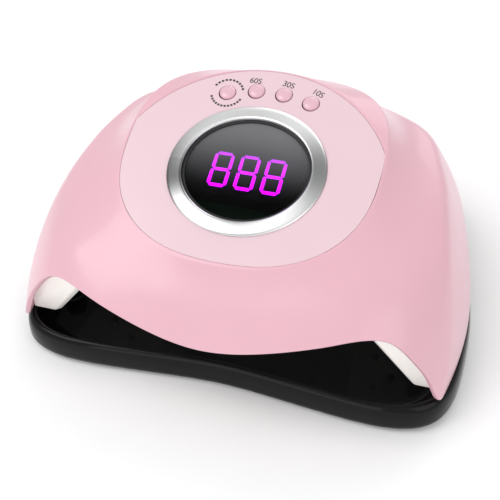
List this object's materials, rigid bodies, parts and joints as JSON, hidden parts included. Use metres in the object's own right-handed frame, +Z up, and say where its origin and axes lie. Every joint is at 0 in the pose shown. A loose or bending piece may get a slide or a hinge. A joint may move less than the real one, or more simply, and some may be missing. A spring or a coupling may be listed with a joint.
{
  "type": "uv led nail lamp",
  "caption": "Domed nail-curing lamp head with a tilted oval control panel, display ring and push keys, standing over a shallow base tray with an open front for the hand.",
  "frame": {"origin": "middle of the bounding box, at the level of the feet", "axes": "+Z up, +X to the user's right, -Y towards the user and the hand opening"},
  "size_m": [0.221, 0.205, 0.1076],
  "materials": {
    "outer_shell": "gloss pink",
    "control_panel": "satin pale pink",
    "display_bezel": "satin silver",
    "window_seal": "black",
    "display_window": "smoked gloss",
    "display_module": "black",
    "digit_segments": "lit magenta",
    "key_board": "green circuit board",
    "key_switches": "black",
    "inner_liner": "gloss warm white",
    "uv_leds": "clear lens",
    "led_board": "white aluminium-core board",
    "hand_sensors": "dark infrared lens",
    "sensor_board": "green circuit board",
    "driver_board": "green circuit board",
    "driver_capacitors": "dark sleeve",
    "driver_coil": "ferrite grey",
    "wire_connectors": "natural white",
    "dc_jack": "black",
    "dc_jack_pin": "plated",
    "magnets": "nickel plated",
    "screws": "zinc plated",
    "wire_harness": "red wire sleeve",
    "base_tray": "gloss black",
    "rubber_feet": "matt black",
    "keys": "gloss pink",
    "plungers": "black"
  },
  "bodies": {
    "base": {"base_tray": "base_tray", "tray_magnets": "magnets", "rubber_feet": "rubber_feet"},
    "head": {"outer_shell": "outer_shell", "control_panel": "control_panel", "display_bezel": "display_bezel", "window_seal": "window_seal", "display_window": "display_window", "display_module": "display_module", "digit_segments": "digit_segments", "key_board": "key_board", "key_switches": "key_switches", "inner_liner": "inner_liner", "uv_leds": "uv_leds", "led_board_roof": "led_board", "led_board_rear": "led_board", "led_board_left": "led_board", "led_board_right": "led_board", "hand_sensors": "hand_sensors", "sensor_board": "sensor_board", "driver_board": "driver_board", "driver_capacitors": "driver_capacitors", "driver_coil": "driver_coil", "wire_connectors": "wire_connectors", "dc_jack": "dc_jack", "dc_jack_pin": "dc_jack_pin", "head_magnets": "magnets", "liner_screws": "screws", "board_screws": "screws", "wire_harness": "wire_harness"},
    "button_99s": {"key_99s": "keys", "plunger_99s": "plungers"},
    "button_60s": {"key_60s": "keys", "plunger_60s": "plungers"},
    "button_30s": {"key_30s": "keys", "plunger_30s": "plungers"},
    "button_10s": {"key_10s": "keys", "plunger_10s": "plungers"}
  },
  "joints": [
    {"name": "head_lift", "type": "slide", "parent": "base", "child": "head", "axis": [0, 0, 1], "range_m": [0, 0.08]},
    {"name": "press_99s", "type": "slide", "parent": "head", "child": "button_99s", "axis": [0, 0.3355, -0.9421], "range_m": [0, 0.0006], "stiffness_N_per_m": 400, "springref_m": -0.0004},
    {"name": "press_60s", "type": "slide", "parent": "head", "child": "button_60s", "axis": [0, 0.3355, -0.9421], "range_m": [0, 0.0006], "stiffness_N_per_m": 400, "springref_m": -0.0004},
    {"name": "press_30s", "type": "slide", "parent": "head", "child": "button_30s", "axis": [0, 0.3355, -0.9421], "range_m": [0, 0.0006], "stiffness_N_per_m": 400, "springref_m": -0.0004},
    {"name": "press_10s", "type": "slide", "parent": "head", "child": "button_10s", "axis": [0, 0.3355, -0.9421], "range_m": [0, 0.0006], "stiffness_N_per_m": 400, "springref_m": -0.0004}
  ]
}
